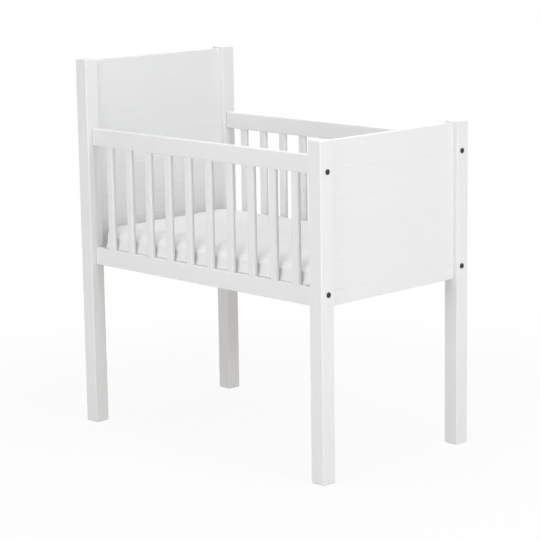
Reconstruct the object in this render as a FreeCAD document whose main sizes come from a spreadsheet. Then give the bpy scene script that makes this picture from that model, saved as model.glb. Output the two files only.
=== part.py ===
# A bedside sleeper crib in white painted wood: four square posts, two grooved end
# panels, two barred sides, a slatted base and a loose mattress.
# Frame: +X runs from the head to the foot, -Y is the near long side, +Z is up, and the
# origin is on the floor under the middle of the crib. All sizes are millimetres.
import FreeCAD, Part
import math
import os
import re

import Sketcher

# Driving sizes: name, value, meaning.
SIZES = [
    ("overall_length", 970, "over the posts, head to foot"),
    ("overall_width", 575, "over the posts, near side to far side"),
    ("head_height", 1060, "floor to the top of the head posts"),
    ("foot_height", 905, "floor to the top of the foot posts"),
    ("post_side", 45, "square section of a post"),
    ("post_round", 3, "rounding of a post's long and top edges"),
    ("post_chamfer", 3, "chamfer round a post's foot"),
    ("side_recess", 15.5, "post's outer face to the front of a rail"),
    ("rail_thick", 20, "rail, front to back"),
    ("rail_height", 49, "rail, bottom to top"),
    ("rail_round", 4, "rounding of a rail's edges"),
    ("top_rail_drop", 41, "top of a foot post to the top of a top rail"),
    ("bottom_rail_base", 470, "floor to the underside of a bottom rail"),
    ("bar_count", 10, "upright bars in each side"),
    ("bar_wide", 27, "bar, along the side"),
    ("bar_thick", 14, "bar, front to back"),
    ("bar_round", 6, "rounding of a bar's long edges"),
    ("tenon_deep", 12, "how far a bar's end goes into a rail"),
    ("wood_play", 0.1, "clearance all round a glued wood joint"),
    ("panel_thick", 16, "thickness of an end panel"),
    ("panel_drop", 4, "top of a post to the top of its panel"),
    ("panel_round", 2, "rounding of a panel's top and bottom edges"),
    ("tongue_deep", 10, "how far a panel's edge goes into a post"),
    ("groove_pitch", 78, "spacing of the plank grooves in a panel"),
    ("groove_wide", 2, "mouth of a plank groove"),
    ("groove_deep", 0.7, "depth of a plank groove"),
    ("bolt_round", 6, "diameter of a side bolt's shank"),
    ("bolt_head_round", 15, "diameter of a side bolt's head"),
    ("bolt_head_thick", 2, "thickness of a side bolt's head"),
    ("bolt_head_edge", 0.8, "rounding of a side bolt's head"),
    ("bolt_neck_round", 9, "diameter of the collar under the head"),
    ("bolt_neck_long", 5, "length of the collar under the head"),
    ("bolt_past_nut", 8, "bolt's end beyond the middle of its nut"),
    ("key_flats", 4, "hexagon socket across its flats"),
    ("key_deep", 4, "depth of the hexagon socket"),
    ("nut_round", 10, "diameter of a barrel nut"),
    ("nut_long", 16, "length of a barrel nut"),
    ("nut_from_end", 30, "rail's end to the middle of its barrel nut"),
    ("top_bolt_rise", 9, "top rail's underside to its bolt"),
    ("low_bolt_rise", 35.5, "bottom rail's underside to its bolt"),
    ("drill_play", 0.2, "clearance round a bolt, nut, screw or dowel"),
    ("dowel_round", 8, "diameter of a wood dowel"),
    ("dowel_long", 30, "length of a wood dowel"),
    ("dowel_in_post", 12, "how far a dowel goes into a post"),
    ("top_dowel_rise", 34, "top rail's underside to its dowel"),
    ("low_dowel_rise", 13, "bottom rail's underside to its dowel"),
    ("batten_high", 22, "batten that carries the base, bottom to top"),
    ("batten_thick", 18, "batten, front to back"),
    ("batten_rise", 6, "bottom rail's underside to the batten's underside"),
    ("end_play", 0.5, "clearance at each end of a batten or base slat"),
    ("base_slat_count", 8, "slats in the base"),
    ("base_slat_wide", 70, "base slat, along the crib"),
    ("base_slat_thick", 12, "thickness of a base slat"),
    ("base_slat_round", 3, "rounding of a base slat's long edges"),
    ("screw_round", 4, "diameter of a wood screw"),
    ("screw_head_round", 8, "diameter of a wood screw's head"),
    ("screw_head_deep", 2.5, "depth of a wood screw's countersunk head"),
    ("screw_long", 30, "length of a wood screw"),
    ("screw_point", 5, "length of a wood screw's point"),
    ("screw_sink", 0.3, "wood screw's head below the surface"),
    ("cross_wide", 1, "width of a screw's cross slot"),
    ("cross_deep", 1.5, "depth of a screw's cross slot"),
    ("mattress_play_long", 4.5, "mattress to each end panel"),
    ("mattress_play_wide", 2, "mattress to each side rail"),
    ("mattress_thick", 60, "mattress at its edge, underside to top"),
    ("mattress_crown", 5, "rise of the mattress's middle above its edge"),
    ("mattress_corner", 42, "corner radius of the mattress in plan"),
    ("mattress_rest_gap", 0.3, "mattress to the base slats"),
    ("mattress_soft_edge", 12, "how far the mattress's edges roll in"),
    ("cover_thick", 2, "thickness of the mattress's cover"),
    ("core_play", 0.3, "clearance between foam core and cover"),
]

# Lengths that follow from the driving sizes.
DERIVED = {
    "between_posts": "overall_length - 2 * post_side",
    "between_end_posts": "overall_width - 2 * post_side",
    "inside_length": "overall_length - post_side - panel_thick",
    "inside_width": "overall_width - 2 * (side_recess + rail_thick)",
    "rail_middle_y": "overall_width / 2 - side_recess - rail_thick / 2",
    "post_middle_x": "overall_length / 2 - post_side / 2",
    "post_middle_y": "overall_width / 2 - post_side / 2",
    "rail_from_post_middle": "side_recess + rail_thick / 2 - post_side / 2",
    "top_rail_base": "foot_height - top_rail_drop - rail_height",
    "bar_gap": "(between_posts - bar_count * bar_wide) / (bar_count + 1)",
    "bar_pitch": "bar_gap + bar_wide",
    "bar_span": "bar_pitch * (bar_count - 1)",
    "bar_long": "top_rail_base - bottom_rail_base - rail_height + 2 * tenon_deep",
    "mortise_deep": "tenon_deep + wood_play",
    "top_bolt_height": "top_rail_base + top_bolt_rise",
    "low_bolt_height": "bottom_rail_base + low_bolt_rise",
    "top_dowel_height": "top_rail_base + top_dowel_rise",
    "low_dowel_height": "bottom_rail_base + low_dowel_rise",
    "bolt_long": "post_side + nut_from_end + bolt_past_nut",
    "dowel_in_rail": "dowel_long - dowel_in_post",
    "batten_base": "bottom_rail_base + batten_rise",
    "batten_middle_y": "inside_width / 2 - batten_thick / 2",
    "base_top": "batten_base + batten_high + base_slat_thick",
    "base_slat_gap": "(between_posts - base_slat_count * base_slat_wide) / (base_slat_count + 1)",
    "base_slat_pitch": "base_slat_gap + base_slat_wide",
    "base_slat_span": "base_slat_pitch * (base_slat_count - 1)",
    "batten_screw_count": "base_slat_count - 1",
    "batten_screw_span": "base_slat_span - base_slat_pitch",
    "mattress_long": "inside_length - 2 * mattress_play_long",
    "mattress_wide": "inside_width - 2 * mattress_play_wide",
    "mattress_base": "base_top + mattress_rest_gap",
}

doc = FreeCAD.newDocument("bedside_crib")
sheet = doc.addObject("Spreadsheet::Sheet", "Sizes")
for row, (name, value, meaning) in enumerate(SIZES, start=1):
    sheet.set(f"A{row}", name)
    sheet.set(f"B{row}", str(value))
    sheet.setAlias(f"B{row}", name)
    sheet.set(f"C{row}", meaning)
doc.recompute()

DRIVING = {name for name, value, meaning in SIZES}


def formula(text):
    """An expression in the sheet's cells, with each derived length written out."""

    def swap(found):
        word = found.group()
        if word in DERIVED:
            return f"({formula(DERIVED[word])})"
        return f"Sizes.{word}" if word in DRIVING else word

    return re.sub(r"[A-Za-z_]+", swap, str(text))


def value(text):
    """The number that an expression gives now."""
    return float(sheet.evalExpression(formula(text)))


def bind(thing, path, text):
    """Ties one property or constraint of an object to the sheet."""
    thing.setExpression(path, formula(text))


def new_body(label, x="0", y="0", z="0"):
    """An empty body with its own label, whose placement follows the sheet."""
    body = doc.addObject("PartDesign::Body", label)
    body.Label = label
    for axis, text in zip("xyz", (x, y, z)):
        bind(body, f".Placement.Base.{axis}", text)
    return body


def datum(body, role):
    """One of the body's own origin planes or axes, such as XY_Plane or X_Axis."""
    return next(o for o in body.Origin.OriginFeatures if o.Role == role)


def new_sketch(body, name, role, across="0", up="0", out="0"):
    """A sketch on an origin plane, moved in that plane and along its normal."""
    sketch = body.newObject("Sketcher::SketchObject", name)
    sketch.AttachmentSupport = [(datum(body, role), "")]
    sketch.MapMode = "FlatFace"
    for axis, text in zip("xyz", (across, up, out)):
        bind(sketch, f".AttachmentOffset.Base.{axis}", text)
    return sketch


def add_size(sketch, name, text, *constraint):
    """A named dimension of a sketch that follows the sheet."""
    index = sketch.addConstraint(Sketcher.Constraint(*constraint, value(text)))
    sketch.renameConstraint(index, name)
    bind(sketch, f"Constraints.{name}", text)


def draw_polygon(sketch, points):
    """A closed outline whose corners are (x, y) expressions from the sketch's origin."""
    corners = [FreeCAD.Vector(value(x), value(y), 0) for x, y in points]
    count = len(corners)
    for i, corner in enumerate(corners):
        sketch.addGeometry(Part.LineSegment(corner, corners[(i + 1) % count]))
    first = sketch.GeometryCount - count
    for i in range(count):
        after = first + (i + 1) % count
        sketch.addConstraint(Sketcher.Constraint("Coincident", first + i, 2, after, 1))
    for i, (x, y) in enumerate(points):
        for axis, text in (("X", x), ("Y", y)):
            if value(text) == 0:
                on_axis = -2 if axis == "X" else -1
                sketch.addConstraint(Sketcher.Constraint("PointOnObject", first + i, 1, on_axis))
            else:
                add_size(sketch, f"p{first + i}{axis}", text, f"Distance{axis}", -1, 1, first + i, 1)


def draw_rectangle(sketch, wide, high):
    """A rectangle centred on the sketch's origin."""
    x, y = f"({wide}) / 2", f"({high}) / 2"
    draw_polygon(sketch, [(f"-{x}", f"-{y}"), (x, f"-{y}"), (x, y), (f"-{x}", y)])


def draw_rounded(sketch, wide, high, corner):
    """A rectangle with rounded corners, centred on the sketch's origin."""
    half_x, half_y, turn = value(wide) / 2, value(high) / 2, value(corner)
    in_x, in_y = half_x - turn, half_y - turn
    point = FreeCAD.Vector
    for a, b in (
        (point(-in_x, -half_y), point(in_x, -half_y)),
        (point(half_x, -in_y), point(half_x, in_y)),
        (point(in_x, half_y), point(-in_x, half_y)),
        (point(-half_x, in_y), point(-half_x, -in_y)),
    ):
        sketch.addGeometry(Part.LineSegment(a, b))
    quarter = math.pi / 2
    for start, x, y in ((-1, in_x, -in_y), (0, in_x, in_y), (1, -in_x, in_y), (2, -in_x, -in_y)):
        circle = Part.Circle(point(x, y), point(0, 0, 1), turn)
        sketch.addGeometry(Part.ArcOfCircle(circle, start * quarter, (start + 1) * quarter))
    for i in range(4):
        arc, after = i + 4, (i + 1) % 4
        sketch.addConstraint(Sketcher.Constraint("Tangent", i, 2, arc, 1))
        sketch.addConstraint(Sketcher.Constraint("Tangent", arc, 2, after, 1))
        sketch.addConstraint(Sketcher.Constraint("Horizontal" if i % 2 == 0 else "Vertical", i))
    for arc in (5, 6, 7):
        sketch.addConstraint(Sketcher.Constraint("Equal", 4, arc))
    sketch.addConstraint(Sketcher.Constraint("Symmetric", 4, 3, 6, 3, -1, 1))
    add_size(sketch, "wide", wide, "DistanceX", 3, 1, 1, 1)
    add_size(sketch, "high", high, "DistanceY", 0, 1, 2, 1)
    add_size(sketch, "corner", corner, "Radius", 4)


def draw_circle(sketch, across):
    """A circle centred on the sketch's origin."""
    radius = value(across) / 2
    sketch.addGeometry(Part.Circle(FreeCAD.Vector(0, 0, 0), FreeCAD.Vector(0, 0, 1), radius))
    sketch.addConstraint(Sketcher.Constraint("Coincident", 0, 3, -1, 1))
    add_size(sketch, "across", across, "Diameter", 0)


def raise_pad(body, name, sketch, long, both_ways=False):
    """A pad along the sketch's normal, or half each way."""
    pad = body.newObject("PartDesign::Pad", name)
    pad.Profile = sketch
    pad.Midplane = both_ways
    bind(pad, "Length", long)
    sketch.Visibility = False
    return pad


def cut_pocket(body, name, sketch, long, along_normal=True, both_ways=False):
    """A pocket of a stated depth; it has to take something away."""
    doc.recompute()
    before = body.Shape.Volume
    pocket = body.newObject("PartDesign::Pocket", name)
    pocket.Profile = sketch
    pocket.Reversed = along_normal
    pocket.Midplane = both_ways
    bind(pocket, "Length", long)
    sketch.Visibility = False
    doc.recompute()
    if body.Shape.Volume > before - 1:
        raise RuntimeError(f"{body.Label}: {name} cuts nothing")
    return pocket


def edge_names(feature, wanted):
    """Names of the edges of a feature's shape that a test picks."""
    doc.recompute()
    return [f"Edge{i}" for i, edge in enumerate(feature.Shape.Edges, start=1) if wanted(edge)]


def runs_along(edge, axis):
    """True for a straight edge along X, Y or Z (0, 1 or 2)."""
    a, b = edge.Vertexes[0].Point, edge.Vertexes[-1].Point
    return len(edge.Vertexes) == 2 and abs(abs(b[axis] - a[axis]) - edge.Length) < 1e-6


def dress(body, kind, name, feature, edges, setting, size):
    """A fillet or chamfer on the named edges of a feature."""
    made = body.newObject(f"PartDesign::{kind}", name)
    made.Base = (feature, edges)
    bind(made, setting, size)
    doc.recompute()
    return made


def mirror(body, name, originals, role):
    """Repeats features on the other side of an origin plane."""
    made = body.newObject("PartDesign::Mirrored", name)
    made.Originals = originals
    made.MirrorPlane = (datum(body, role), [""])
    body.Tip = made
    return made


def pattern(body, name, originals, role, long, count):
    """Repeats features in a line along an origin axis."""
    made = body.newObject("PartDesign::LinearPattern", name)
    made.Originals = originals
    made.Direction = (datum(body, role), [""])
    bind(made, "Length", long)
    bind(made, "Occurrences", count)
    body.Tip = made
    return made


def pattern_and_mirror(body, name, originals, lines, mirrors):
    """Repeats features in lines and across planes, as one set of separate solids."""
    made = body.newObject("PartDesign::MultiTransform", name)
    made.Originals = originals
    steps = []
    for role, long, count in lines:
        step = body.newObject("PartDesign::LinearPattern", f"{name}Line{len(steps)}")
        step.Direction = (datum(body, role), [""])
        bind(step, "Length", long)
        bind(step, "Occurrences", count)
        steps.append(step)
    for role in mirrors:
        step = body.newObject("PartDesign::Mirrored", f"{name}Mirror{len(steps)}")
        step.MirrorPlane = (datum(body, role), [""])
        steps.append(step)
    made.Transformations = steps
    body.Tip = made
    return made


# ---- posts --------------------------------------------------------------------------

def make_post(label, height, end, side):
    """A post. end is -1 at the head and 1 at the foot, side -1 near and 1 far.

    Its own origin is under the middle of its foot.
    """
    body = new_body(label, f"{end} * post_middle_x", f"{side} * post_middle_y")
    section = new_sketch(body, "Section", "XY_Plane")
    draw_rectangle(section, "post_side", "post_side")
    blank = raise_pad(body, "Blank", section, height)
    top = value(height)
    eased = edge_names(blank, lambda e: runs_along(e, 2) or min(v.Z for v in e.Vertexes) > top - 1)
    eased = dress(body, "Fillet", "EasedEdges", blank, eased, "Radius", "post_round")
    under = edge_names(eased, lambda e: max(v.Z for v in e.Vertexes) < 1e-6)
    dress(body, "Chamfer", "FootChamfer", eased, under, "Size", "post_chamfer")

    # The panel's tongue sits in a stopped groove in the face towards the other post.
    groove = new_sketch(
        body,
        "PanelGroove",
        "XY_Plane",
        up=f"{-side} * (post_side / 2 - tongue_deep / 2)",
        out="bottom_rail_base - wood_play",
    )
    draw_rectangle(groove, "panel_thick + 2 * wood_play", "tongue_deep + 2 * wood_play")
    cut_pocket(
        body, "PanelGrooveCut", groove, f"{height} - panel_drop - bottom_rail_base + 2 * wood_play"
    )

    # A bolt passes right through into each rail, its collar sunk in the outer face.
    rail_y = f"{-side} * rail_from_post_middle"
    for name, rise in (("Top", "top_bolt_height"), ("Low", "low_bolt_height")):
        bore = new_sketch(body, f"{name}BoltBore", "YZ_Plane", rail_y, rise)
        draw_circle(bore, "bolt_round + 2 * drill_play")
        cut_pocket(body, f"{name}BoltBoreCut", bore, "post_side + 2", both_ways=True)
        seat = new_sketch(
            body, f"{name}CollarSeat", "YZ_Plane", rail_y, rise, f"{end} * post_side / 2"
        )
        draw_circle(seat, "bolt_neck_round + 2 * drill_play")
        cut_pocket(
            body, f"{name}CollarSeatCut", seat, "bolt_neck_long + drill_play", along_normal=end < 0
        )
    # A dowel beside each bolt keeps the rail from turning.
    for name, rise in (("Top", "top_dowel_height"), ("Low", "low_dowel_height")):
        hole = new_sketch(
            body, f"{name}DowelHole", "YZ_Plane", rail_y, rise, f"{-end} * post_side / 2"
        )
        draw_circle(hole, "dowel_round + 2 * wood_play")
        cut_pocket(
            body, f"{name}DowelHoleCut", hole, "dowel_in_post + wood_play", along_normal=end > 0
        )
    return body


# ---- end panels ---------------------------------------------------------------------

def make_panel(label, height, end):
    """A plank-grooved end panel; its own origin is in the middle of its underside."""
    body = new_body(label, f"{end} * post_middle_x", "0", "bottom_rail_base")
    tall = f"({height} - panel_drop - bottom_rail_base)"
    section = new_sketch(body, "Section", "XY_Plane")
    draw_rectangle(section, "panel_thick", "between_end_posts + 2 * tongue_deep")
    blank = raise_pad(body, "Board", section, tall)
    long_edges = edge_names(blank, lambda e: runs_along(e, 1))
    dress(body, "Fillet", "EasedEdges", blank, long_edges, "Radius", "panel_round")

    # Each plank joint is a V in both faces, the first one a plank below the top. The V is
    # drawn out past the face by a quarter of its depth, so it is a quarter wider there.
    joint = new_sketch(body, "PlankJoint", "XZ_Plane", up=f"{tall} - groove_pitch")
    for face in (-1, 1):
        surface = f"{face} * (panel_thick / 2 + groove_deep / 4)"
        mouth = "groove_wide / 2 * 5 / 4"
        draw_polygon(
            joint,
            [
                (surface, f"-{mouth}"),
                (surface, mouth),
                (f"{face} * (panel_thick / 2 - groove_deep)", "0"),
            ],
        )
    cut = cut_pocket(
        body, "PlankJointCut", joint, "between_end_posts + 2 * tongue_deep + 2", both_ways=True
    )
    joints = f"floor(({tall} - groove_wide) / groove_pitch)"
    down = pattern(body, "PlankJoints", [cut], "Z_Axis", f"groove_pitch * ({joints} - 1)", joints)
    down.Reversed = True
    return body


# ---- barred sides -------------------------------------------------------------------

def make_rail(label, side, base, is_top):
    """A side rail; its own origin is in the middle of its underside."""
    body = new_body(label, "0", f"{side} * rail_middle_y", base)
    section = new_sketch(body, "Section", "YZ_Plane", up="rail_height / 2")
    draw_rectangle(section, "rail_thick", "rail_height")
    blank = raise_pad(body, "Bar", section, "between_posts", both_ways=True)
    dress(
        body, "Fillet", "EasedEdges", blank, edge_names(blank, lambda e: True), "Radius", "rail_round"
    )

    # A mortise for each bar, in the edge that faces the other rail.
    edge = "0" if is_top else "rail_height"
    mortise = new_sketch(body, "Mortise", "XY_Plane", "-bar_span / 2", "0", edge)
    draw_rounded(
        mortise, "bar_wide + 2 * wood_play", "bar_thick + 2 * wood_play", "bar_round + wood_play"
    )
    cut = cut_pocket(body, "MortiseCut", mortise, "mortise_deep", along_normal=is_top)
    pattern(body, "Mortises", [cut], "X_Axis", "bar_span", "bar_count")

    # Each end takes a bolt and a dowel, and the bolt's nut drops in from the same edge.
    bolt, dowel = ("top_bolt_rise", "top_dowel_rise") if is_top else ("low_bolt_rise", "low_dowel_rise")
    end = "-between_posts / 2"
    bolt_hole = new_sketch(body, "BoltHole", "YZ_Plane", "0", bolt, end)
    draw_circle(bolt_hole, "bolt_round + 2 * drill_play")
    bolt_cut = cut_pocket(
        body, "BoltHoleCut", bolt_hole, "nut_from_end + bolt_past_nut + 2 * drill_play"
    )
    dowel_hole = new_sketch(body, "DowelHole", "YZ_Plane", "0", dowel, end)
    draw_circle(dowel_hole, "dowel_round + 2 * wood_play")
    dowel_cut = cut_pocket(body, "DowelHoleCut", dowel_hole, "dowel_in_rail + wood_play")
    nut_hole = new_sketch(
        body, "NutHole", "XY_Plane", "nut_from_end - between_posts / 2", "0", edge
    )
    draw_circle(nut_hole, "nut_round + 2 * drill_play")
    to_nut = bolt if is_top else f"rail_height - {bolt}"
    nut_cut = cut_pocket(
        body, "NutHoleCut", nut_hole, f"{to_nut} + nut_long / 2 + drill_play", along_normal=is_top
    )
    mirror(body, "OtherEnd", [bolt_cut, dowel_cut, nut_cut], "YZ_Plane")
    if not is_top:
        add_pilot_holes(
            body,
            "XZ_Plane",
            across="-batten_screw_span / 2",
            up="batten_rise + batten_high / 2",
            out=f"{side} * rail_thick / 2",
            depth="screw_long + screw_sink - batten_thick + wood_play",
            along_normal=side < 0,
            line=("X_Axis", "batten_screw_span", "batten_screw_count"),
        )
    return body


def make_bar(label, side, number):
    """An upright bar; its own origin is in the middle of its lower end."""
    body = new_body(
        label,
        f"{number - 1} * bar_pitch - bar_span / 2",
        f"{side} * rail_middle_y",
        "bottom_rail_base + rail_height - tenon_deep",
    )
    section = new_sketch(body, "Section", "XY_Plane")
    draw_rounded(section, "bar_wide", "bar_thick", "bar_round")
    raise_pad(body, "Bar", section, "bar_long")
    return body


# ---- base ---------------------------------------------------------------------------

def make_batten(label, side):
    """A batten on the inner face of a bottom rail, screwed to it between the base slats."""
    body = new_body(label, "0", f"{side} * batten_middle_y", "batten_base")
    section = new_sketch(body, "Section", "YZ_Plane", up="batten_high / 2")
    draw_rectangle(section, "batten_thick", "batten_high")
    raise_pad(body, "Bar", section, "between_posts - 2 * end_play", both_ways=True)
    add_screw_seats(
        body,
        "XZ_Plane",
        across="-batten_screw_span / 2",
        up="batten_high / 2",
        out=f"{side} * batten_thick / 2",
        depth="batten_thick",
        along_normal=side < 0,
        line=("X_Axis", "batten_screw_span", "batten_screw_count"),
    )
    add_pilot_holes(
        body,
        "XY_Plane",
        across="-base_slat_span / 2",
        up="0",
        out="batten_high",
        depth="screw_long + screw_sink - base_slat_thick + wood_play",
        along_normal=False,
        line=("X_Axis", "base_slat_span", "base_slat_count"),
    )
    return body


def add_pilot_holes(body, role, across, up, out, depth, along_normal, line):
    """A row of blind holes that the points of wood screws go into."""
    hole = new_sketch(body, "PilotHole", role, across, up, out)
    draw_circle(hole, "screw_round + 2 * wood_play")
    cut = cut_pocket(body, "PilotHoleCut", hole, depth, along_normal=along_normal)
    pattern(body, "PilotHoles", [cut], *line)


def add_screw_seats(body, role, across, up, out, depth, along_normal, line):
    """A row of screw holes, each with a countersink that takes the screw's whole head."""
    hole = new_sketch(body, "ScrewHole", role, across, up, out)
    draw_circle(hole, "screw_round + 2 * drill_play")
    hole_cut = cut_pocket(body, "ScrewHoleCut", hole, depth, along_normal=along_normal)
    seat = new_sketch(body, "HeadSeat", role, across, up, out)
    draw_circle(seat, "screw_head_round + 2 * drill_play")
    seat_cut = cut_pocket(
        body, "HeadSeatCut", seat, "screw_head_deep + screw_sink", along_normal=along_normal
    )
    pattern(body, "ScrewHoles", [hole_cut, seat_cut], *line)


def make_base_slat(label, number):
    """A slat across the base; its own origin is in the middle of its underside."""
    body = new_body(
        label,
        f"{number - 1} * base_slat_pitch - base_slat_span / 2",
        "0",
        "batten_base + batten_high",
    )
    section = new_sketch(body, "Section", "XZ_Plane", up="base_slat_thick / 2")
    draw_rounded(section, "base_slat_wide", "base_slat_thick", "base_slat_round")
    raise_pad(body, "Board", section, "inside_width - 2 * end_play", both_ways=True)
    add_screw_seats(
        body,
        "XY_Plane",
        across="0",
        up="-batten_middle_y",
        out="base_slat_thick",
        depth="base_slat_thick",
        along_normal=False,
        line=("Y_Axis", "2 * batten_middle_y", "2"),
    )
    return body


# ---- fasteners ----------------------------------------------------------------------

def turn(body, name, role, across, up, out, points, axis):
    """A turned piece: an outline with one side on the sketch's own axis."""
    outline = new_sketch(body, name + "Outline", role, across, up, out)
    draw_polygon(outline, points)
    made = body.newObject("PartDesign::Revolution", name)
    made.Profile = outline
    made.ReferenceAxis = (outline, [axis])
    made.Angle = 360
    outline.Visibility = False
    doc.recompute()
    return made


def make_bolts(label, end):
    """The four side bolts of one end, heads outwards on the posts' outer faces."""
    body = new_body(label, f"{end} * overall_length / 2", "0", "low_bolt_height")
    tip = f"{-end} * bolt_long"
    collar = f"{-end} * bolt_neck_long"
    face = f"{end} * bolt_head_thick"
    shoulder = f"{end} * (bolt_head_thick - bolt_head_edge)"
    bolt = turn(
        body,
        "Bolt",
        "XZ_Plane",
        "0",
        "0",
        "rail_middle_y",
        [
            (tip, "0"),
            (tip, "bolt_round / 2"),
            (collar, "bolt_round / 2"),
            (collar, "bolt_neck_round / 2"),
            ("0", "bolt_neck_round / 2"),
            ("0", "bolt_head_round / 2"),
            (shoulder, "bolt_head_round / 2"),
            (face, "bolt_head_round / 2 - bolt_head_edge"),
            (face, "0"),
        ],
        "H_Axis",
    )
    socket = new_sketch(body, "Socket", "YZ_Plane", "-rail_middle_y", "0", face)
    # A hexagon with flats above and below.
    flat, point = "key_flats / 2", "key_flats / sqrt(3)"
    draw_polygon(
        socket,
        [
            (f"-{point}", "0"),
            (f"-{point} / 2", f"-{flat}"),
            (f"{point} / 2", f"-{flat}"),
            (point, "0"),
            (f"{point} / 2", flat),
            (f"-{point} / 2", flat),
        ],
    )
    key = cut_pocket(body, "SocketCut", socket, "key_deep", along_normal=end < 0)
    pattern_and_mirror(
        body,
        "Bolts",
        [bolt, key],
        [("Z_Axis", "top_bolt_height - low_bolt_height", "2")],
        ["XZ_Plane"],
    )
    return body


def make_nuts(label, end):
    """The four barrel nuts of one end, upright in the rails with the bolts through them."""
    body = new_body(
        label, f"{end} * (between_posts / 2 - nut_from_end)", "0", "low_bolt_height"
    )
    section = new_sketch(body, "Section", "XY_Plane", "0", "-rail_middle_y")
    draw_circle(section, "nut_round")
    barrel = raise_pad(body, "Barrel", section, "nut_long", both_ways=True)
    thread = new_sketch(body, "Thread", "YZ_Plane", "-rail_middle_y", "0")
    draw_circle(thread, "bolt_round + drill_play")
    hole = cut_pocket(body, "ThreadCut", thread, "nut_round + 2", both_ways=True)
    pattern_and_mirror(
        body,
        "Nuts",
        [barrel, hole],
        [("Z_Axis", "top_bolt_height - low_bolt_height", "2")],
        ["XZ_Plane"],
    )
    return body


def make_dowels(label, end):
    """The four wood dowels of one end, part in the posts and part in the rails."""
    body = new_body(label, f"{end} * between_posts / 2", "0", "low_dowel_height")
    inner = f"{-end} * dowel_in_rail"
    section = new_sketch(body, "Section", "YZ_Plane", "-rail_middle_y", "0", inner)
    draw_circle(section, "dowel_round")
    dowel = raise_pad(body, "Dowel", section, "dowel_long")
    dowel.Reversed = end < 0
    pattern_and_mirror(
        body,
        "Dowels",
        [dowel],
        [("Z_Axis", "top_dowel_height - low_dowel_height", "2")],
        ["XZ_Plane"],
    )
    return body


def screw_outline(way):
    """A countersunk wood screw from its head at 0 to its point, along way (-1 or 1)."""
    start = f"{way} * screw_sink"
    under_head = f"{way} * (screw_sink + screw_head_deep)"
    taper = f"{way} * (screw_sink + screw_long - screw_point)"
    point = f"{way} * (screw_sink + screw_long)"
    return start, under_head, taper, point


def make_batten_screws(label):
    """The screws through both battens into the bottom rails."""
    body = new_body(label, "0", "0", "batten_base + batten_high / 2")
    start, under_head, taper, point = screw_outline(-1)
    screw = turn(
        body,
        "Screw",
        "XY_Plane",
        "-batten_screw_span / 2",
        "batten_thick - inside_width / 2",
        "0",
        [
            ("0", start),
            ("screw_head_round / 2", start),
            ("screw_round / 2", under_head),
            ("screw_round / 2", taper),
            ("0", point),
        ],
        "V_Axis",
    )
    pattern_and_mirror(
        body,
        "Screws",
        [screw],
        [("X_Axis", "batten_screw_span", "batten_screw_count")],
        ["XZ_Plane"],
    )
    return body


def make_base_screws(label):
    """The screws through the base slats' ends into the battens."""
    body = new_body(label, "0", "0", "base_top")
    start, under_head, taper, point = screw_outline(-1)
    screw = turn(
        body,
        "Screw",
        "XZ_Plane",
        "-base_slat_span / 2",
        "0",
        "batten_middle_y",
        [
            ("0", start),
            ("screw_head_round / 2", start),
            ("screw_round / 2", under_head),
            ("screw_round / 2", taper),
            ("0", point),
        ],
        "V_Axis",
    )
    pattern_and_mirror(
        body,
        "Screws",
        [screw],
        [("X_Axis", "base_slat_span", "base_slat_count")],
        ["XZ_Plane"],
    )
    return body


# ---- mattress -----------------------------------------------------------------------

# Stations up the mattress: how far it is drawn in all round, in shares of half the edge
# roll, and its height. The last two are the crowned top.
MATTRESS_STATIONS = [
    ("1", "0"),
    ("0.3", "mattress_soft_edge * 0.3"),
    ("0", "mattress_soft_edge"),
    ("0", "mattress_thick - mattress_soft_edge"),
    ("0.3", "mattress_thick - mattress_soft_edge * 0.3"),
    ("1", "mattress_thick"),
    ("6", "mattress_thick + mattress_crown * 0.8"),
    ("12", "mattress_thick + mattress_crown"),
]


def loft_mattress(body, name, kind, inset):
    """A mattress-shaped loft, drawn in all round by a clearance."""
    sketches = []
    for i, (roll, rise) in enumerate(MATTRESS_STATIONS):
        lift = f"({inset})" if i < len(MATTRESS_STATIONS) / 2 else f"-({inset})"
        sketch = new_sketch(body, f"{name}Station{i}", "XY_Plane", out=f"{rise} + {lift}")
        pull = f"2 * ({roll} * mattress_soft_edge / 2 + {inset})"
        corner = f"mattress_corner - {inset}"
        draw_rounded(sketch, f"mattress_long - {pull}", f"mattress_wide - {pull}", corner)
        sketch.Visibility = False
        sketches.append(sketch)
    made = body.newObject(f"PartDesign::{kind}", name)
    made.Profile = sketches[0]
    made.Sections = sketches[1:]
    made.Ruled = True
    made.Closed = False
    doc.recompute()
    return made


def make_mattress_cover(label):
    """The knitted cover: a closed shell round the foam."""
    body = new_body(label, z="mattress_base")
    loft_mattress(body, "Outside", "AdditiveLoft", "0")
    loft_mattress(body, "Inside", "SubtractiveLoft", "cover_thick")
    return body


def make_mattress_core(label):
    """The foam block inside the cover."""
    body = new_body(label, z="mattress_base")
    loft_mattress(body, "Foam", "AdditiveLoft", "cover_thick + core_play")
    return body


# ---- the crib -----------------------------------------------------------------------

ENDS = {"head": -1, "foot": 1}
SIDES = {"near": -1, "far": 1}

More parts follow.
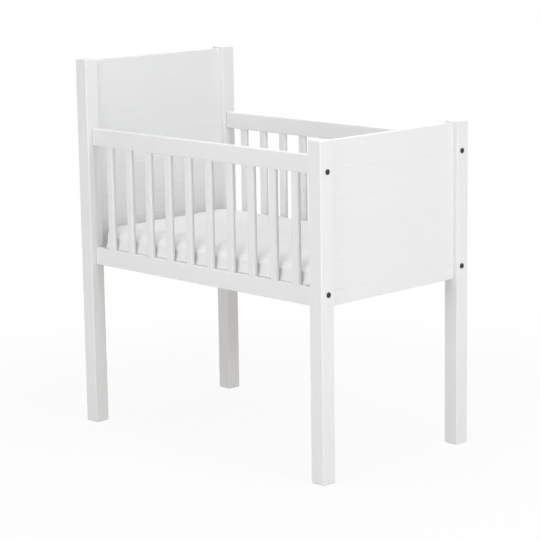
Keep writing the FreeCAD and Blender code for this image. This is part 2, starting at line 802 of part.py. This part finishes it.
bodies = []
for end_name, end in ENDS.items():
    for side_name, side in SIDES.items():
        bodies.append(make_post(f"{end_name}_post_{side_name}", f"{end_name}_height", end, side))
    bodies.append(make_panel(f"{end_name}_panel", f"{end_name}_height", end))
for side_name, side in SIDES.items():
    bodies.append(make_rail(f"{side_name}_top_rail", side, "top_rail_base", True))
    bodies.append(make_rail(f"{side_name}_bottom_rail", side, "bottom_rail_base", False))
    for number in range(1, int(value("bar_count")) + 1):
        bodies.append(make_bar(f"{side_name}_bar_{number}", side, number))
    bodies.append(make_batten(f"{side_name}_base_batten", side))
for number in range(1, int(value("base_slat_count")) + 1):
    bodies.append(make_base_slat(f"base_slat_{number}", number))
for end_name, end in ENDS.items():
    bodies.append(make_bolts(f"{end_name}_bolts", end))
    bodies.append(make_nuts(f"{end_name}_barrel_nuts", end))
    bodies.append(make_dowels(f"{end_name}_dowels", end))
bodies.append(make_batten_screws("batten_screws"))
bodies.append(make_base_screws("base_slat_screws"))
bodies.append(make_mattress_cover("mattress_cover"))
bodies.append(make_mattress_core("mattress_core"))

doc.recompute()
for thing in doc.Objects:
    if "Invalid" in thing.State or "Error" in thing.State:
        raise RuntimeError(f"{thing.Label} did not recompute: {thing.State}")
os.makedirs("parts", exist_ok=True)
for body in bodies:
    if body.Shape.isNull() or not body.Shape.isValid() or not body.Shape.Solids:
        raise RuntimeError(f"{body.Label} has no valid solid")
for body in bodies:
    body.Shape.exportStep(f"parts/{body.Label}.step")
print(f"{len(bodies)} sub-parts")
for body in bodies:
    box = body.Shape.BoundBox
    print(
        f"{body.Label:22s} {len(body.Shape.Solids):2d} solids",
        f"{body.Shape.Volume / 1000:9.1f} cm3",
        f"x {box.XMin:7.1f} {box.XMax:7.1f}",
        f"y {box.YMin:7.1f} {box.YMax:7.1f}",
        f"z {box.ZMin:7.1f} {box.ZMax:7.1f}",
    )
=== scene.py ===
# Bedside sleeper crib: finishes, soft mattress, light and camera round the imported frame.
# All lengths are metres. +X runs from the head to the foot, -Y is the near side, +Z is up.
import math

import bmesh
import bpy
from mathutils import Matrix, Vector, noise


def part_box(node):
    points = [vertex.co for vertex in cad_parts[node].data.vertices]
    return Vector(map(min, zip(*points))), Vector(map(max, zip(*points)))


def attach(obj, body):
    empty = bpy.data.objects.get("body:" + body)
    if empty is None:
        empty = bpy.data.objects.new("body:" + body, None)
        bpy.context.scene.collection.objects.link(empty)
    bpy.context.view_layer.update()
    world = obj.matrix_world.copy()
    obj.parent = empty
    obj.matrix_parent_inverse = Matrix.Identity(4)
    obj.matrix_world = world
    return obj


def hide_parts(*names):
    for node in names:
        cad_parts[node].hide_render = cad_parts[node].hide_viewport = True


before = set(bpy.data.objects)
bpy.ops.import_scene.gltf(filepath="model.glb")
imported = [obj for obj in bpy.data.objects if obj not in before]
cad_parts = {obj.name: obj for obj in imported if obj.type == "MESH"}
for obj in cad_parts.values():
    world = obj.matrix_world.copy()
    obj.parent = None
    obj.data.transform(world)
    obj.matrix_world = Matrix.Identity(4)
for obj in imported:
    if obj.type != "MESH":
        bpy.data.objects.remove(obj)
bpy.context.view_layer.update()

scene = bpy.context.scene
scene.view_settings.view_transform = "Standard"


# ---- nodes --------------------------------------------------------------------------

def add(tree, kind, inputs=None, **settings):
    """A shader node. Each input takes a value, or another node's output socket."""
    made = tree.nodes.new(kind)
    for name, value in settings.items():
        setattr(made, name, value)
    for name, value in (inputs or {}).items():
        if isinstance(value, bpy.types.NodeSocket):
            tree.links.new(value, made.inputs[name])
        else:
            made.inputs[name].default_value = value
    return made


def maths(tree, operation, a, b=0.0, c=0.0):
    """The result of a Math node on up to three values or sockets."""
    return add(tree, "ShaderNodeMath", {0: a, 1: b, 2: c}, operation=operation).outputs[0]


def remap(tree, value, low, high):
    """A mask of 0 to 1 spread between two other values."""
    return add(tree, "ShaderNodeMapRange", {"Value": value, "To Min": low, "To Max": high}).outputs[0]


def mix_colours(tree, share, first, second, blend="MIX"):
    """Two colours mixed by a share, through the Mix node's colour sockets."""
    made = add(tree, "ShaderNodeMix", data_type="RGBA", blend_type=blend)
    for name, value in (("Factor_Float", share), ("A_Color", first), ("B_Color", second)):
        socket = next(s for s in made.inputs if s.identifier == name)
        if isinstance(value, bpy.types.NodeSocket):
            tree.links.new(value, socket)
        else:
            socket.default_value = value
    return next(s for s in made.outputs if s.identifier == "Result_Color")


def object_place(tree):
    """Where a point lies, in Object coordinates."""
    return add(tree, "ShaderNodeTexCoord").outputs["Object"]


def noise_at(tree, place, scale, detail=2.0, roughness=0.5):
    """A noise mask of 0 to 1 at so many cells a metre."""
    inputs = {"Vector": place, "Scale": scale, "Detail": detail, "Roughness": roughness}
    return add(tree, "ShaderNodeTexNoise", inputs).outputs["Fac"]


def new_group(name, inputs, outputs):
    """A shader node group with named inputs (kind and value) and outputs (kind)."""
    group = bpy.data.node_groups.new(name, "ShaderNodeTree")
    for label, (kind, value) in inputs.items():
        socket = group.interface.new_socket(label, in_out="INPUT", socket_type=f"NodeSocket{kind}")
        socket.default_value = value
    for label, kind in outputs.items():
        group.interface.new_socket(label, in_out="OUTPUT", socket_type=f"NodeSocket{kind}")
    return group, add(group, "NodeGroupInput"), add(group, "NodeGroupOutput")


def feed(tree, output, **values):
    """Links values to the named outputs of a group."""
    for name, value in values.items():
        tree.links.new(value, output.inputs[name])


def make_lacquer_group():
    """Sprayed lacquer: fine orange peel, and wood grain that just shows through it."""
    group, given, out = new_group(
        "sprayed_lacquer",
        {"Colour": ("Color", (0.8, 0.8, 0.8, 1)), "Grain": ("Vector", (400, 400, 16))},
        {"Colour": "Color", "Roughness": "Float", "Height": "Float"},
    )
    place = object_place(group)
    along = add(group, "ShaderNodeMapping", {"Vector": place, "Scale": given.outputs["Grain"]})
    pores = noise_at(group, along.outputs[0], 1, 4, 0.6)
    peel = noise_at(group, place, 620, 2, 0.5)
    clouds = noise_at(group, place, 7, 3, 0.55)
    shade = maths(group, "MULTIPLY_ADD", clouds, 0.022, 0.989)
    shade = maths(group, "MULTIPLY_ADD", pores, 0.016, maths(group, "SUBTRACT", shade, 0.008))
    colour = mix_colours(group, 1.0, given.outputs["Colour"], shade, "MULTIPLY")
    feed(
        group,
        out,
        Colour=colour,
        Roughness=maths(group, "MULTIPLY_ADD", clouds, 0.10, 0.52),
        Height=maths(group, "MULTIPLY_ADD", peel, 0.55, maths(group, "MULTIPLY", pores, 0.45)),
    )
    return group


def make_grain_group():
    """Planed softwood: growth rings cut lengthwise, and fine pores along the grain."""
    group, given, out = new_group(
        "planed_softwood",
        {
            "Early": ("Color", (0.74, 0.60, 0.41, 1)),
            "Late": ("Color", (0.60, 0.43, 0.25, 1)),
            "Grain": ("Vector", (1, 1, 0.05)),
        },
        {"Colour": "Color", "Roughness": "Float", "Height": "Float"},
    )
    place = object_place(group)
    along = add(group, "ShaderNodeMapping", {"Vector": place, "Scale": given.outputs["Grain"]})
    along = along.outputs[0]
    rings = add(
        group,
        "ShaderNodeTexWave",
        {"Vector": along, "Scale": 26, "Distortion": 5.5, "Detail": 3, "Detail Scale": 0.9},
        wave_type="BANDS",
        bands_direction="DIAGONAL",
        wave_profile="SAW",
    ).outputs["Fac"]
    pores = noise_at(group, along, 900, 3, 0.6)
    clouds = noise_at(group, place, 9, 3, 0.5)
    late = maths(group, "POWER", rings, 2.2)
    colour = mix_colours(group, late, given.outputs["Early"], given.outputs["Late"])
    shade = maths(group, "MULTIPLY_ADD", clouds, 0.20, 0.86)
    shade = maths(group, "MULTIPLY_ADD", pores, 0.10, maths(group, "SUBTRACT", shade, 0.02))
    feed(
        group,
        out,
        Colour=mix_colours(group, 1.0, colour, shade, "MULTIPLY"),
        Roughness=maths(group, "MULTIPLY_ADD", late, -0.12, 0.68),
        Height=maths(group, "MULTIPLY_ADD", pores, 0.4, maths(group, "MULTIPLY", late, 0.6)),
    )
    return group


def make_steel_group():
    """Plated or blackened steel: small crystals, and a fine scatter of handling marks."""
    group, given, out = new_group(
        "finished_steel",
        {"Bright": ("Color", (0.7, 0.7, 0.7, 1)), "Dull": ("Color", (0.5, 0.5, 0.5, 1))},
        {"Colour": "Color", "Roughness": "Float", "Height": "Float"},
    )
    place = object_place(group)
    cells = add(group, "ShaderNodeTexVoronoi", {"Vector": place, "Scale": 900}).outputs["Distance"]
    marks = noise_at(group, place, 260, 4, 0.65)
    share = maths(group, "MULTIPLY", maths(group, "ADD", cells, marks), 0.6)
    feed(
        group,
        out,
        Colour=mix_colours(group, share, given.outputs["Bright"], given.outputs["Dull"]),
        Roughness=remap(group, marks, 0.26, 0.46),
        Height=maths(group, "MULTIPLY_ADD", cells, 0.3, marks),
    )
    return group


def make_jersey_group():
    """Single jersey knit: rows of small loops, with soft clouds of denser yarn."""
    group, given, out = new_group(
        "jersey_knit",
        {"Colour": ("Color", (0.8, 0.8, 0.8, 1)), "Loops": ("Float", 650.0)},
        {"Colour": "Color", "Roughness": "Float", "Height": "Float"},
    )
    place = add(group, "ShaderNodeSeparateXYZ", {"Vector": object_place(group)}).outputs
    turns = maths(group, "MULTIPLY", given.outputs["Loops"], 2 * math.pi)
    lift = maths(group, "ADD", place["Y"], place["Z"])
    wale = maths(group, "SINE", maths(group, "MULTIPLY", place["X"], turns))
    rows = maths(group, "MULTIPLY", lift, turns)
    course = maths(group, "MULTIPLY_ADD", maths(group, "ABSOLUTE", wale), 1.6, rows)
    course = maths(group, "SINE", course)
    loops = maths(group, "MULTIPLY_ADD", maths(group, "MULTIPLY", wale, course), 0.5, 0.5)
    clouds = noise_at(group, object_place(group), 22, 4, 0.6)
    fuzz = noise_at(group, object_place(group), 1500, 2, 0.6)
    shade = maths(group, "MULTIPLY_ADD", clouds, 0.03, 0.945)
    shade = maths(group, "MULTIPLY_ADD", loops, 0.05, shade)
    feed(
        group,
        out,
        Colour=mix_colours(group, 1.0, given.outputs["Colour"], shade, "MULTIPLY"),
        Roughness=remap(group, clouds, 0.86, 0.96),
        Height=maths(group, "MULTIPLY_ADD", fuzz, 0.35, loops),
    )
    return group


# ---- finishes -----------------------------------------------------------------------

LACQUER_WHITE = (0.815, 0.818, 0.822, 1)
JERSEY_WHITE = (0.90, 0.901, 0.904, 1)
FINE, COARSE = 400.0, 16.0   # marks a metre, across the grain and along it

lacquer_group = make_lacquer_group()
grain_group = make_grain_group()
steel_group = make_steel_group()
jersey_group = make_jersey_group()


def make_finish(name, group, given, relief, depth, **shader):
    """A material round one effect group; relief and depth say how strong its bump is."""
    material = bpy.data.materials.new(name)
    material.use_nodes = True
    tree = material.node_tree
    surface = tree.nodes["Principled BSDF"]
    effect = add(tree, "ShaderNodeGroup", node_tree=group)
    for label, value in given.items():
        effect.inputs[label].default_value = value
    bump = add(
        tree,
        "ShaderNodeBump",
        {"Height": effect.outputs["Height"], "Strength": relief, "Distance": depth},
    )
    tree.links.new(effect.outputs["Colour"], surface.inputs["Base Color"])
    tree.links.new(effect.outputs["Roughness"], surface.inputs["Roughness"])
    tree.links.new(bump.outputs["Normal"], surface.inputs["Normal"])
    for label, value in shader.items():
        surface.inputs[label.replace("_", " ")].default_value = value
    return material


def make_lacquer(name, grain):
    """White lacquer on wood whose grain runs one way."""
    return make_finish(
        name, lacquer_group, {"Colour": LACQUER_WHITE, "Grain": grain}, 0.35, 0.00012, Coat_Weight=0.03
    )


lacquer_upright = make_lacquer("white_lacquer_upright_grain", (FINE, FINE, COARSE))
lacquer_lengthwise = make_lacquer("white_lacquer_lengthwise_grain", (COARSE, FINE, FINE))
lacquer_crosswise = make_lacquer("white_lacquer_crosswise_grain", (FINE, COARSE, FINE))
wood_lengthwise = make_finish(
    "bare_wood_lengthwise_grain", grain_group, {"Grain": (0.05, 1, 1)}, 0.5, 0.0003
)
wood_crosswise = make_finish(
    "bare_wood_crosswise_grain", grain_group, {"Grain": (1, 0.05, 1)}, 0.5, 0.0003
)
zinc = make_finish(
    "bright_zinc",
    steel_group,
    {"Bright": (0.70, 0.70, 0.69, 1), "Dull": (0.48, 0.49, 0.50, 1)},
    0.2,
    0.0001,
    Metallic=1.0,
)
black_steel = make_finish(
    "black_steel",
    steel_group,
    {"Bright": (0.016, 0.016, 0.017, 1), "Dull": (0.009, 0.009, 0.009, 1)},
    0.25,
    0.0001,
    Coat_Weight=0.2,
)
jersey = make_finish(
    "white_jersey", jersey_group, {"Colour": JERSEY_WHITE}, 0.5, 0.0004, Sheen_Weight=0.25
)


def finish_for(name):
    """The finish of a CAD node that stays in view, from its name."""
    if "bolts" in name:
        return black_steel
    if "nuts" in name or "screws" in name:
        return zinc
    if "base_slat" in name:
        return wood_crosswise
    if "batten" in name or "dowels" in name:
        return wood_lengthwise
    if "rail" in name:
        return lacquer_lengthwise
    if "panel" in name:
        return lacquer_crosswise
    return lacquer_upright


for name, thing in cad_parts.items():
    for slot in thing.material_slots:
        slot.material = finish_for(name)


# ---- mattress -----------------------------------------------------------------------

BAR_COUNT = sum(name.startswith("near_bar_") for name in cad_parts)
bar_boxes = [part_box(f"near_bar_{n}") for n in range(1, BAR_COUNT + 1)]
bar_middles = [(low.x + high.x) / 2 for low, high in bar_boxes]
bar_half = (bar_boxes[0][1].x - bar_boxes[0][0].x) / 2
rail_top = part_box("near_bottom_rail")[1].z
mattress_low, mattress_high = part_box("mattress_cover")

# The inner faces that the cover lies against, from the crib's middle.
bar_inside = -bar_boxes[0][1].y
rail_inside = -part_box("near_bottom_rail")[1].y
panel_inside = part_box("foot_panel")[0].x

# The block that the cover is made from.
CORNER_RADIUS = 0.040   # in plan
EDGE_ROLL = 0.015       # rounding of the top edge
LOW_ROLL = 0.006        # rounding of the bottom edge
ROLL_CUTS = 6           # facets of a rolled edge
CORNER_CUTS = 10        # facets of a round corner
CROWN = 0.005           # rise of the middle above the edges
SWELL_ROOM = 0.0025     # left all round for the filling to swell into
SWELL_RISE = 0.0015     # the same above the top
VOXEL = 0.0065          # spacing of the cover's points

# The filling, as air in a cloth.
PRESSURE = 4.0
FRAMES = 20
SWELL = 0.006           # the most that it may push the cover out

# Gaps to what the cover rests on, and how softly it stops there.
SIDE_GAP = 0.0006       # to the rails beside it
END_GAP = 0.0015        # to the end panels
REST_GAP = 0.0003       # to the top of the rail it rests on
BAR_GAP = 0.0004        # to the back of a bar
TOP_ROOM = 0.004        # the folds' room above the crown
SOFT_STOP = 0.003       # at a rail or panel
TOP_STOP = 0.002        # at the top

# The lobes that push out between the bars, and the dips beside the bars.
BAR_ROUND = 0.006       # rounding of a bar's long edges
HUG = 0.0065            # how near a bar's edge the cover is drawn to it
HUG_STRIP = -0.2        # y: the cover is drawn to the near bars from here out
BULGE = 0.0095          # a lobe's reach, beyond the rail's inner face
LEAST_LOBE = 0.8        # share of that reach right beside a bar
DIP = 0.0030            # how far the top edge sinks beside a bar

# Where these start and end, each as two distances from the place named.
ROW_END = (0.036, 0.058)      # x past the last bar's middle: the lobes end
LOBE_SIDE = (0.0, 0.016)      # x from a bar's edge: a lobe reaches its full depth
DIP_SIDE = (-0.006, 0.018)    # x from a bar's edge: a dip ends
DIP_EDGE = (0.195, 0.247)     # y from the middle: the dips reach their full depth
LOBE_FOOT = (-0.002, 0.006)   # z from the rail's top: the lobes start
LOBE_HEAD = (-0.018, 0.006)   # z from the mattress's edge: the lobes end
RAIL_FILL = (0.004, 0.014)    # z from the rail's top: above it the side leaves the rail
REST_LOW, REST_FLAT = -0.002, 0.006   # z from the rail's top: what comes to lie flat on it
REST_TOP = 0.020              # z from the rail's top: up to here the side stretches for that
FACING = (0.2, 0.8)           # share of a normal: the surface counts as facing that way
TOP_FACING = (0.05, 0.5)      # the same for the creases, which run on over the edge
CREASE_STRIP = 0.02           # y past the inner ends of the creases

# Slow and fast unevenness of the top: height, waves a metre and place in the noise.
WAVES = [(0.0012, 9, 0.3), (0.0006, 30, 1.7)]

SEAM_DEEP, SEAM_HALF = 0.0012, 0.004


def ease(value, low, high):
    """0 below low, 1 above high, and a smooth rise between them."""
    share = min(1.0, max(0.0, (value - low) / (high - low)))
    return share * share * (3 - 2 * share)


def ease_from(base, fade, value):
    """The same rise between two distances from a base."""
    return ease(value, base + fade[0], base + fade[1])


def hold(value, most, soft):
    """A value that bends over softly as it nears the most it may be."""
    start = most - soft
    return value if value <= start else most - soft * math.exp((start - value) / soft)


def make_mattress_blank(low, high):
    """A block with round corners in plan and rolled edges, made with bevels."""
    shape = bmesh.new()
    bmesh.ops.create_cube(shape, size=1)
    bmesh.ops.scale(shape, vec=high - low, verts=shape.verts)
    bmesh.ops.translate(shape, vec=(low + high) / 2, verts=shape.verts)
    upright = [e for e in shape.edges if abs(e.verts[0].co.z - e.verts[1].co.z) > EDGE_ROLL]
    bevel = {"profile": 0.5, "affect": "EDGES", "material": -1}
    bmesh.ops.bevel(shape, geom=upright, offset=CORNER_RADIUS, segments=CORNER_CUTS, **bevel)
    shape.normal_update()
    rims = [e for e in shape.edges if sum(abs(f.normal.z) > 0.5 for f in e.link_faces) == 1]
    middle = (low.z + high.z) / 2
    for upper, roll in ((True, EDGE_ROLL), (False, LOW_ROLL)):
        rim = [e for e in rims if e.is_valid and (e.verts[0].co.z > middle) == upper]
        bmesh.ops.bevel(shape, geom=rim, offset=roll, segments=ROLL_CUTS, **bevel)
    mesh = bpy.data.meshes.new("mattress_blank")
    shape.to_mesh(mesh)
    shape.free()
    return mesh


def applied(thing):
    """A copy of an object's mesh with its modifiers applied."""
    graph = bpy.context.evaluated_depsgraph_get()
    return bpy.data.meshes.new_from_object(thing.evaluated_get(graph), depsgraph=graph)


def show(name, data):
    """A new object in the scene that holds a mesh, a light or a camera."""
    thing = bpy.data.objects.new(name, data)
    scene.collection.objects.link(thing)
    return thing


def inflate(mesh, pressure, frames, most):
    """Cloth with air in it, let swell for some frames, no point further than most."""
    thing = show("swelling", mesh)
    cloth = thing.modifiers.new("cloth", "CLOTH")
    cloth.settings.use_pressure = True
    cloth.settings.uniform_pressure_force = pressure
    cloth.settings.effector_weights.gravity = 0
    cloth.settings.quality = 4
    cloth.point_cache.frame_start, cloth.point_cache.frame_end = 1, frames
    for number in range(1, frames + 1):
        scene.frame_set(number)
    swollen = applied(thing)
    for before, after in zip(mesh.vertices, swollen.vertices):
        move = after.co - before.co
        if move.length > most:
            after.co = before.co + move * (most / move.length)
    bpy.data.objects.remove(thing)
    scene.frame_set(1)
    return swollen


# Soft folds in the top of the cover: both ends (x, y), height, and half width.
FOLDS = [
    ((-0.085, -0.075), (0.015, 0.045), 0.0016, 0.016),
    ((-0.330, -0.120), (-0.255, -0.035), 0.0014, 0.018),
    ((0.180, 0.020), (0.300, 0.110), 0.0012, 0.022),
    ((-0.180, 0.100), (-0.060, 0.165), 0.0012, 0.020),
]
FOLD_START, FOLD_END = (-0.15, 0.3), (0.7, 1.15)   # shares of a fold's length
# The crease that runs inward from each near bar: x from the bar's middle, and y.
CREASE = [(0.018, -0.262), (0.006, -0.240), (-0.010, -0.212), (-0.030, -0.180), (-0.054, -0.148)]
CREASE_DEEP, CREASE_HALF = 0.0034, 0.0052


def fold_height(x, y):
    """How far the folds lift the top of the cover at a point."""
    lift = 0.0
    for (x1, y1), (x2, y2), height, width in FOLDS:
        run = Vector((x2 - x1, y2 - y1))
        along = Vector((x - x1, y - y1)).dot(run) / run.length_squared
        away = abs((x - x1) * run.y - (y - y1) * run.x) / run.length
        fade = ease(along, *FOLD_START) * (1 - ease(along, *FOLD_END))
        lift += height * fade * math.exp(-((away / width) ** 2))
    return lift


def crease_depth(x, y):
    """How far the creases by the near bars sink the cover at a point."""
    deepest = 0.0
    for middle in bar_middles:
        for (x1, y1), (x2, y2) in zip(CREASE, CREASE[1:]):
            run = Vector((x2 - x1, y2 - y1))
            off = Vector((x - middle - x1, y - y1))
            along = min(1.0, max(0.0, off.dot(run) / run.length_squared))
            away = (off - run * along).length
            here = y1 + run.y * along
            fade = 1 - ease(here, CREASE[2][1], CREASE[-1][1])
            deepest = max(deepest, fade * math.exp(-((away / CREASE_HALF) ** 2)))
    return CREASE_DEEP * deepest


def hug(offset):
    """Draws points of the cover that lie near a bar's edge towards that edge."""
    off_edge = abs(offset) - bar_half
    if abs(off_edge) < HUG:
        off_edge = math.copysign(off_edge ** 2 / HUG, off_edge)
    return math.copysign(bar_half + off_edge, offset)


def bar_back(offset):
    """How far out a bar's rounded back lies, at a distance from the bar's middle."""
    past_flat = offset - (bar_half - BAR_ROUND)
    if past_flat <= 0:
        return bar_inside
    if past_flat >= BAR_ROUND:
        return math.inf
    return bar_inside + BAR_ROUND - math.sqrt(BAR_ROUND ** 2 - past_flat ** 2)


def rest_on_rail(z):
    """Height of a point of the side that has been pushed out over the rail's top."""
    rise = z - rail_top
    if not REST_LOW < rise < REST_TOP:
        return z
    stretched = max(0.0, rise - REST_FLAT) * REST_TOP / (REST_TOP - REST_FLAT)
    return rail_top + REST_GAP + stretched


def side_reach(y, z, normal, from_bar, in_row):
    """How far from the crib's middle a point lies, once the rails and the backs of the
    bars hold it in and the filling pushes it out between the bars."""
    side_most = rail_inside - SIDE_GAP
    by_rail = in_row * (1 - ease_from(rail_top, RAIL_FILL, z))
    above_rail = ease_from(rail_top, LOBE_FOOT, z)
    below_edge = 1 - ease_from(mattress_high.z - CROWN, LOBE_HEAD, z)
    lobe = LEAST_LOBE + (1 - LEAST_LOBE) * ease_from(bar_half, LOBE_SIDE, from_bar)

    out = hold(abs(y), side_most, SOFT_STOP)
    out += (side_most - out) * by_rail * ease(abs(normal.y), *FACING)
    out += BULGE * lobe * in_row * above_rail * below_edge * abs(normal.y)
    return min(out, bar_back(from_bar) - BAR_GAP)


def top_lift(x, y, z, normal, from_bar, in_row):
    """How far a point rises with the crown, waves and folds, and sinks in the dips and
    creases by the bars."""
    upper = ease(z, mattress_low.z, mattress_high.z - CROWN)
    crown = (1 - (x / mattress_high.x) ** 4) * (1 - (y / mattress_high.y) ** 4)
    dip = (1 - ease_from(bar_half, DIP_SIDE, from_bar)) * in_row * ease(abs(y), *DIP_EDGE)
    waves = sum(
        height * noise.noise(Vector((x * scale, y * scale, place))) for height, scale, place in WAVES
    )
    lift = (CROWN * crown - DIP * dip + waves) * upper
    lift += fold_height(x, y) * ease(normal.z, *FACING)
    if y < CREASE[-1][1] + CREASE_STRIP:
        lift -= crease_depth(x, y) * ease(normal.z, *TOP_FACING)
    return lift


def shape_cover(mesh):
    """Rests the cover on the slats, holds it in by the rails and panels, and lets it
    push out between the bars."""
    end_most = panel_inside - END_GAP
    highest = mattress_high.z + TOP_ROOM
    normals = [v.normal.copy() for v in mesh.vertices]
    for vertex, normal in zip(mesh.vertices, normals):
        x, y, z = vertex.co
        nearest = min(bar_middles, key=lambda middle: abs(x - middle))
        if y < HUG_STRIP:
            x = nearest + hug(x - nearest)
        from_bar = abs(x - nearest)
        in_row = 1 - ease_from(bar_middles[-1], ROW_END, abs(x))
        out = side_reach(y, z, normal, from_bar, in_row)
        lift = top_lift(x, y, z, normal, from_bar, in_row)
        if in_row * ease(abs(normal.y), *FACING) > 0.5:
            z = rest_on_rail(z)
        vertex.co = Vector((
            math.copysign(hold(abs(x), end_most, SOFT_STOP), x),
            math.copysign(out, y),
            max(hold(z + lift, highest, TOP_STOP), mattress_low.z),
        ))


def seam_pinch(mesh, height):
    """Draws the sides in along the zip seam."""
    mesh.update()
    normals = [v.normal.copy() for v in mesh.vertices]
    for vertex, normal in zip(mesh.vertices, normals):
        near = math.exp(-(((vertex.co.z - height) / SEAM_HALF) ** 2)) * (1 - abs(normal.z))
        vertex.co -= Vector((normal.x, normal.y, 0)) * SEAM_DEEP * near


def make_mattress():
    """The padded cover, which shows in place of the plain CAD cover and core."""
    inset = Vector((SWELL_ROOM, SWELL_ROOM, 0.0))
    low = mattress_low + inset
    high = mattress_high - inset - Vector((0, 0, CROWN + SWELL_RISE))
    blank = show("blank", make_mattress_blank(low, high))
    remesh = blank.modifiers.new("even", "REMESH")
    remesh.mode, remesh.voxel_size = "VOXEL", VOXEL
    even = applied(blank)
    bpy.data.objects.remove(blank)
    even = inflate(even, PRESSURE, FRAMES, SWELL)
    shape_cover(even)
    seam_pinch(even, (mattress_low.z + mattress_high.z) / 2)
    for face in even.polygons:
        face.use_smooth = True
    even.materials.clear()
    even.materials.append(jersey)
    made = show("mattress", even)
    smooth = made.modifiers.new("smooth", "SUBSURF")
    smooth.levels = smooth.render_levels = 1
    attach(made, "mattress")
    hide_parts("mattress_cover", "mattress_core")
    return made


make_mattress()


# ---- floor, light and camera ----------------------------------------------------------

FLOOR_RADIUS = 60.0
FLOOR_PALE = (0.86, 0.86, 0.86, 1)
FLOOR_LIT = 0.10                      # share of real light on the floor near the crib
SHADOW_NEAR, SHADOW_FAR = 0.75, 1.9   # where the floor's shadow fades into plain white
AMBIENT = 0.310                       # the surround's light on the crib


def make_floor():
    """A wide pale floor: white to the camera, with the crib's shadow kept near its feet."""
    shape = bmesh.new()
    bmesh.ops.create_circle(shape, cap_ends=True, segments=64, radius=FLOOR_RADIUS)
    mesh = bpy.data.meshes.new("floor")
    shape.to_mesh(mesh)
    shape.free()
    floor = show("floor", mesh)
    material = bpy.data.materials.new("pale_floor")
    material.use_nodes = True
    tree = material.node_tree
    tree.nodes.clear()
    place = add(tree, "ShaderNodeVectorMath", {0: object_place(tree)}, operation="LENGTH")
    far = add(
        tree,
        "ShaderNodeMapRange",
        {"Value": place.outputs["Value"], "From Min": SHADOW_NEAR, "From Max": SHADOW_FAR},
        interpolation_type="SMOOTHSTEP",
    ).outputs[0]
    rays = add(tree, "ShaderNodeLightPath").outputs
    seen = maths(tree, "MAXIMUM", rays["Is Camera Ray"], rays["Is Glossy Ray"])
    seen = maths(tree, "MAXIMUM", seen, rays["Is Transmission Ray"])
    white = maths(tree, "MULTIPLY", seen, maths(tree, "MULTIPLY_ADD", far, FLOOR_LIT, 1 - FLOOR_LIT))
    lit = add(tree, "ShaderNodeBsdfDiffuse", {"Color": FLOOR_PALE}).outputs[0]
    glow = add(tree, "ShaderNodeEmission", {"Color": (1, 1, 1, 1), "Strength": 1.0}).outputs[0]
    shown = add(tree, "ShaderNodeMixShader", {0: white, 1: lit, 2: glow}).outputs[0]
    add(tree, "ShaderNodeOutputMaterial", {"Surface": shown})
    mesh.materials.append(material)


def make_world():
    """An even pale surround that shows as plain white, also where it is mirrored."""
    world = bpy.data.worlds.new("studio")
    scene.world = world
    world.use_nodes = True
    tree = world.node_tree
    tree.nodes.clear()
    rays = add(tree, "ShaderNodeLightPath").outputs
    seen = maths(tree, "MAXIMUM", rays["Is Camera Ray"], rays["Is Glossy Ray"])
    seen = maths(tree, "MAXIMUM", seen, rays["Is Transmission Ray"])
    soft = add(tree, "ShaderNodeBackground", {"Color": (1, 1, 1, 1), "Strength": AMBIENT}).outputs[0]
    plain = add(tree, "ShaderNodeBackground", {"Color": (1, 1, 1, 1), "Strength": 1.0}).outputs[0]
    shown = add(tree, "ShaderNodeMixShader", {0: seen, 1: soft, 2: plain}).outputs[0]
    add(tree, "ShaderNodeOutputWorld", {"Surface": shown})


def make_softbox(name, place, aim, width, height, power):
    """A panel of soft light at a place, turned towards a point."""
    light = bpy.data.lights.new(name, "AREA")
    light.shape, light.size, light.size_y, light.energy = "RECTANGLE", width, height, power
    thing = show(name, light)
    thing.location = place
    thing.rotation_euler = (Vector(aim) - Vector(place)).to_track_quat("-Z", "Y").to_euler()


def make_camera(place, yaw, pitch, roll, focal_pixels, image_pixels=540):
    """The photograph's view; yaw turns from +X to +Y, pitch is up and roll leans right."""
    yaw, pitch, roll = (math.radians(angle) for angle in (yaw, pitch, roll))
    ahead = Vector((math.cos(yaw) * math.cos(pitch), math.sin(yaw) * math.cos(pitch), math.sin(pitch)))
    right = Vector((math.sin(yaw), -math.cos(yaw), 0))
    up = right.cross(ahead)
    right, up = (
        right * math.cos(roll) + up * math.sin(roll),
        up * math.cos(roll) - right * math.sin(roll),
    )
    lens = bpy.data.cameras.new("camera")
    lens.sensor_width = 36
    lens.lens = focal_pixels / image_pixels * lens.sensor_width
    lens.clip_start, lens.clip_end = 0.1, 200
    camera = show("camera", lens)
    turn = Matrix((right, up, -ahead)).transposed().to_4x4()
    camera.matrix_world = Matrix.Translation(place) @ turn
    scene.camera = camera


make_floor()
make_world()
make_softbox("near_softbox", (1.15, -2.6, 2.6), (0, 0, 0.6), 1.1, 1.1, 18)
make_softbox("side_softbox", (-0.6, -3.6, 1.0), (0, 0, 0.6), 1.6, 1.2, 17)
make_softbox("front_softbox", (0.5, -3.4, 0.9), (0, 0, 0.6), 1.4, 1.2, 12)
make_softbox("foot_softbox", (3.6, -0.3, 1.9), (0, 0, 0.7), 1.0, 1.0, 39)
make_softbox("low_foot_softbox", (3.8, 0.3, 1.0), (0, 0, 0.8), 1.8, 1.0, 16)
make_softbox("top_softbox", (0, 0, 3.6), (0, 0, 0.6), 2.2, 2.2, 42)
make_softbox("back_softbox", (-2.6, 3.2, 1.8), (0, 0, 0.6), 1.8, 1.8, 28)
make_camera((4.016, -3.893, 1.565), yaw=135.89, pitch=-11.08, roll=-0.89, focal_pixels=2017)
